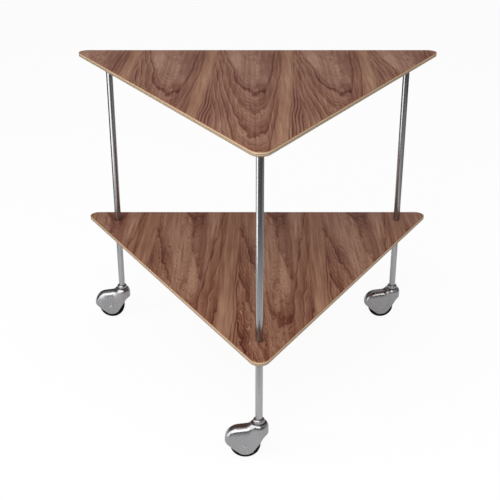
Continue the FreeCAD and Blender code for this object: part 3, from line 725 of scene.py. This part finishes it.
def roundedBoth(first, second, ease):
    # inside both of two forms: the greater field, and near their edge the length of both, which rounds it
    corner = np.hypot(np.maximum(first + ease, 0), np.maximum(second + ease, 0))
    return np.minimum(np.maximum(first, second) + ease, 0) + corner - ease


def blendedEither(first, second, blend):
    # inside either of two forms: the lesser field, less a fillet by the square of how nearly they agree
    overlap = np.maximum(blend - np.abs(first - second), 0) / blend
    return np.minimum(first, second) - overlap ** 2 * blend / 4


def bossField(out, z):
    # below zero inside the boss: an upright wall, then an arc in to its top
    taper = hoods["bossRadius"] - hoods["bossTopRadius"]
    rise = hoods["bossTopRise"] - hoods["bossWallRise"]
    shoulder = (taper ** 2 + rise ** 2) / (2 * taper)
    over = np.maximum(z - hoods["bossWallRise"], 0)
    arc = np.hypot(out - hoods["bossRadius"] + shoulder, over) - shoulder
    return np.where(over > 0, arc, out - hoods["bossRadius"])


def undersideField(x, z):
    # below zero above the lower edge of the cheeks, which turns up into the neck by a round bend
    up, down = 90, -90
    cheek = supportGap(x, z, hoods["cheekRadius"], down - hoods["tailAngle"], down + hoods["neckAngle"])
    lean = math.radians(hoods["neckAngle"])
    bendZ = hoods["neckRise"] - hoods["neckRadius"]
    bendX = (hoods["cheekRadius"] + hoods["neckRadius"] + bendZ * math.cos(lean)) / math.sin(lean)
    neck = -supportGap(x - bendX, z - bendZ, hoods["neckRadius"], up, up + hoods["neckAngle"])
    return np.where(z > bendZ, np.minimum(cheek, neck), cheek)


def hoodField(spots):
    # Below zero inside the casting. A crowned block, whose sides lean in towards the crown, joins the
    # turned boss, is cut below to its cheeks and neck, and is hollowed for the wheel, its axle and the
    # swivel's stem. The origin is on the axle.
    x, y, z = spots[..., 0], spots[..., 1], spots[..., 2]
    up, back = 90, 180
    crown = supportGap(x + hoods["crownBehind"], z - hoods["crownRise"], hoods["crownRadius"],
                       up + hoods["crownSlope"], back)
    side = np.abs(y) - hoods["width"] / 2 + hoods["dome"] * np.maximum(crown + hoods["domeReach"], 0) ** 2
    block = np.maximum(roundedBoth(crown, side, hoods["edgeRadius"]), x - hoods["trail"])
    out = np.hypot(x - hoods["trail"], y)
    solid = blendedEither(block, bossField(out, z), hoods["blend"])
    solid = roundedBoth(solid, z - hoods["bossTopRise"], hoods["rimEase"])
    solid = roundedBoth(solid, undersideField(x, z), hoods["rimEase"])
    fromAxle = np.hypot(x, z)
    well = roundedBoth(fromAxle - hoods["wellRadius"], np.abs(y) - hoods["wellWidth"] / 2, hoods["wellEase"])
    solid = roundedBoth(solid, -well, hoods["rimEase"] / 2)
    solid = np.maximum(solid, hoods["axleRadius"] - fromAxle)
    seat = hoods["bossTopRise"] - hoods["stemSeat"]
    return np.maximum(solid, -np.maximum(out - hoods["stemRadius"], seat - z))


def edgeCrossings(lattice, value, step):
    # which grid edges along each axis the surface crosses, and for each cell the sum and the count of the
    # crossings on its twelve edges, each found on a straight line between the two values
    inside = value < 0
    cells = tuple(length - 1 for length in value.shape)
    total, count = np.zeros(cells + (3,)), np.zeros(cells)
    crossed = []
    for axis in range(3):
        near, far = [slice(None)] * 3, [slice(None)] * 3
        near[axis], far[axis] = slice(None, -1), slice(1, None)
        near, far = tuple(near), tuple(far)
        change = inside[near] != inside[far]
        crossed.append(change)
        share = np.where(change, value[near] / np.where(change, value[near] - value[far], 1), 0)
        spot = lattice[near].copy()
        spot[..., axis] += share * step
        others = [other for other in range(3) if other != axis]
        for shift in np.ndindex(2, 2):
            part = [slice(None)] * 3
            for other, start in zip(others, shift):
                part[other] = slice(start, value.shape[other] - 1 + start)
            part = tuple(part)
            total += np.where(change[part][..., None], spot[part], 0)
            count += change[part]
    return crossed, total, count


def netFaces(crossed, inside, number):
    # one face round each crossed grid edge, through the points of the four cells that share it
    faces = []
    for axis, change in enumerate(crossed):
        where = np.argwhere(change)
        cell = np.repeat(where[:, None], 4, axis=1)
        cell[:, :, (axis + 1) % 3] -= np.array((0, 1, 1, 0))
        cell[:, :, (axis + 2) % 3] -= np.array((0, 0, 1, 1))
        quad = number[cell[..., 0], cell[..., 1], cell[..., 2]]
        outward = inside[tuple(where.T)]
        faces.append(np.where(outward[:, None], quad, quad[:, ::-1]))
    return np.vstack(faces)


nets = dict(settles=3, nudgeParts=20, leastSlope=0.25)


def netSurface(field, low, high, step):
    # Every grid cell that the surface crosses gets one point, at the mean of the crossings on its edges,
    # then moved onto the surface along the field's slope, by its value over the slope's square.
    axes = [np.arange(start, end + step, step) for start, end in zip(low, high)]
    lattice = np.stack(np.meshgrid(*axes, indexing="ij"), axis=-1)
    value = field(lattice)
    crossed, total, count = edgeCrossings(lattice, value, step)
    used = count > 0
    number = np.full(count.shape, -1)
    number[used] = np.arange(used.sum())
    points = total[used] / count[used][:, None]
    nudge = step / nets["nudgeParts"]
    for settle in range(nets["settles"]):
        rises = [field(points + offset) - field(points - offset) for offset in np.eye(3) * nudge]
        slope = np.stack(rises, axis=-1) / (2 * nudge)
        square = np.maximum((slope ** 2).sum(axis=1), nets["leastSlope"])
        points = points - (field(points) / square)[:, None] * slope
    return points, netFaces(crossed, value < 0, number)


lowest = np.array((-hoods["crownBehind"] - hoods["crownRadius"], -hoods["bossRadius"], -hoods["cheekRadius"]))
highest = np.array((hoods["trail"] + hoods["bossRadius"], hoods["bossRadius"], hoods["bossTopRise"]))
lowest, highest = lowest - hoods["margin"], highest + hoods["margin"]
hoodPoints, hoodFaces = netSurface(hoodField, lowest, highest, hoods["step"])
for corner in corners:
    hoodSpots = hoodPoints + np.array(middleOf("axle_" + corner))
    putPiece("caster_hood_" + corner, hoodSpots, [hoodFaces], [finishes["plated_casting"]],
             "caster_" + corner)
print("hoods made:", len(hoodFaces), "faces each")


# Studio

def setSurface(finish, wire):
    # a shader of its own on a material's output
    tree = finish.node_tree
    tree.links.new(wire.socket, tree.nodes["Material Output"].inputs["Surface"])


def seenRays(wire, camera, gloss):
    # how much of a white studio a ray sees: one share from the camera, another off metal and glass
    node = wire.add("LightPath").socket.node
    names = ("Is Camera Ray", "Is Glossy Ray", "Is Transmission Ray")
    seen, glossy, through = (Wire(wire.tree, node.outputs[name]) for name in names)
    shiny = wire.maths("MAXIMUM", glossy, through)
    return wire.maths("MAXIMUM", seen * camera, shiny * gloss)


ground = dict(size=14.0, colour=paint(244, 244, 244), worn=paint(240, 240, 240), clouds=((3, 3, 3), 2.0, 0.5),
              rough=0.9, seenShare=0.92, glossShare=0.35)


def floorPiece():
    # a broad plain floor that looks white and still takes a soft shadow
    half = ground["size"] / 2
    spots = [(-half, -half, 0), (half, -half, 0), (half, half, 0), (-half, half, 0)]
    mesh = bpy.data.meshes.new("floor")
    mesh.from_pydata(spots, [], [(0, 1, 2, 3)])
    finish, at = newFinish("floor_paper")
    tone = at.noise(*ground["clouds"]).mix(ground["colour"], ground["worn"])
    setFinish(finish, BaseColor=tone, Roughness=ground["rough"])
    matt = Wire(finish.node_tree, finish.node_tree.nodes["Principled BSDF"].outputs[0])
    glow = at.add("Emission", {"Color": white, "Strength": 1.0})
    share = seenRays(at, ground["seenShare"], ground["glossShare"])
    setSurface(finish, at.add("MixShader", {0: share, 1: matt, 2: glow}))
    mesh.materials.append(finish)
    placed("floor", mesh)


def stageGlow(name, points, faces, glow=1.0, shade=None):
    # a glowing surface of the studio that only shiny surfaces see
    mesh = bpy.data.meshes.new(name)
    mesh.from_pydata(points.tolist(), [], faces.tolist())
    finish, at = newFinish(name)
    setSurface(finish, at.add("Emission", {"Color": shade(at) if shade else white, "Strength": glow}))
    mesh.materials.append(finish)
    thing = placed(name, mesh)
    thing.visible_camera = False
    thing.visible_diffuse = False
    thing.visible_shadow = False


room = dict(middle=0.09, start=0.5, reach=3.6, lift=0.002, domeShare=0.999, paperNear=0.46, paperFar=1.5,
            squeeze=1.25, white=0.87, dark=0.13, horizon=0.03, horizonRise=0.3, ceiling=0.055,
            steps=48, around=96)


def paperEdge(at):
    # white near the table, dark beyond the paper, darkest at the horizon, lighter towards the ceiling
    x, y, z = at.split()
    x = x * room["squeeze"]
    y = y - room["middle"]
    beyond = (x * x + y * y).root().step(room["paperNear"], room["paperFar"])
    paper = room["white"] - beyond * (room["white"] - room["dark"])
    horizon = z.step(0.0, room["horizonRise"]) * (room["dark"] - room["horizon"])
    return paper - horizon + z * z * room["ceiling"]


def roomPiece():
    # a dark room round a sheet of white paper: flat ground out to its reach, then a dome
    share = np.linspace(0, 1, room["steps"])
    flat = room["start"] + (room["reach"] - room["start"]) * share
    turn = share[1:] * np.pi / 2 * room["domeShare"]
    dome = room["reach"] * np.stack((np.cos(turn), np.sin(turn)), axis=-1)
    profile = np.concatenate((np.stack((flat, np.full_like(flat, room["lift"])), axis=-1), dome))
    grid = turnedPoints(profile, (0, room["middle"], 0), "z", room["around"])
    stageGlow("dark_room", grid.reshape(-1, 3), gridFaces(len(profile), room["around"]), shade=paperEdge)


cardSteps = 24
cards = dict(
    softbox=dict(turn=(-78, 14), reach=1.65, span=(0.6, 3.15), glow=3.8),
    sideStrip=dict(turn=(58, 72), reach=2.3, span=(0.5, 1.9), glow=2.2),
    brightCard=dict(turn=(-84, -40), reach=0.85, span=(0.004, 0.5), glow=2.8),
    greyCard=dict(turn=(36, 104), reach=0.66, span=(0.004, 0.36), glow=0.42),
    backCard=dict(turn=(140, 176), reach=0.95, span=(0.004, 0.42), glow=0.8))


def cardPiece(name, turn, reach, span, glow):
    # an upright card, curved round the table: an arc at its foot and the same arc at its head
    across = np.radians(np.linspace(*turn, cardSteps))
    ring = np.stack((reach * np.sin(across), room["middle"] - reach * np.cos(across)), axis=-1)
    points = np.vstack([np.column_stack((ring, np.full(cardSteps, height))) for height in span])
    foot, head = np.arange(2 * cardSteps).reshape(2, cardSteps)
    stageGlow(name, points, np.stack((foot[:-1], foot[1:], head[1:], head[:-1]), axis=-1), glow)


lamps = dict(
    keyFront=dict(spot=(-0.5, -2.1, 1.75), aim=(0, 0.05, 0.35), size=(1.9, 2.0), power=40),
    sideLeft=dict(spot=(-2.0, -0.9, 1.3), aim=(0, 0.05, 0.35), size=(0.9, 1.2), power=19),
    sideRight=dict(spot=(2.0, -0.9, 1.3), aim=(0, 0.05, 0.35), size=(0.8, 1.0), power=8))


def lampPiece(name, spot, aim, size, power):
    # an oblong soft lamp, tipped and turned so that it looks at its aim
    light = bpy.data.lights.new(name, "AREA")
    light.shape = "RECTANGLE"
    light.size, light.size_y = size
    light.energy = power
    away = np.array(spot) - np.array(aim)
    away = away / np.linalg.norm(away)
    lamp = placed(name, light)
    lamp.location = spot
    lamp.rotation_euler = (math.acos(away[2]), 0, math.atan2(away[0], -away[1]))
    lamp.visible_glossy = False  # shiny surfaces see the cards instead


worldLight = 0.64


def studioWorld():
    # white to the camera and to shiny surfaces, a plain level of light to the rest
    world = bpy.data.worlds.new("studio")
    bpy.context.scene.world = world
    world.use_nodes = True
    tree = world.node_tree
    background = tree.nodes["Background"]
    background.inputs["Color"].default_value = white
    seen = seenRays(Wire(tree, background.outputs[0]), 1.0, 1.0)
    strength = seen * (1 - worldLight) + worldLight
    tree.links.new(strength.socket, background.inputs["Strength"])


view = dict(spot=(-0.01434, -1.55888, 0.9833), pitch=65.208, lens=71.5, sensor=36.0)


def photoCamera():
    # at the photo's place, looking along +Y and down by the pitch
    lens = bpy.data.cameras.new("photo_camera")
    lens.lens = view["lens"]
    lens.sensor_width = view["sensor"]
    camera = placed("photo_camera", lens)
    camera.location = view["spot"]
    camera.rotation_euler = (math.radians(view["pitch"]), 0, 0)
    bpy.context.scene.camera = camera


floorPiece()
studioWorld()
photoCamera()
for name, lamp in lamps.items():
    lampPiece(name, **lamp)
for name, card in cards.items():
    cardPiece(name, **card)
roomPiece()
bpy.context.scene.view_settings.view_transform = "Standard"
print("studio made")
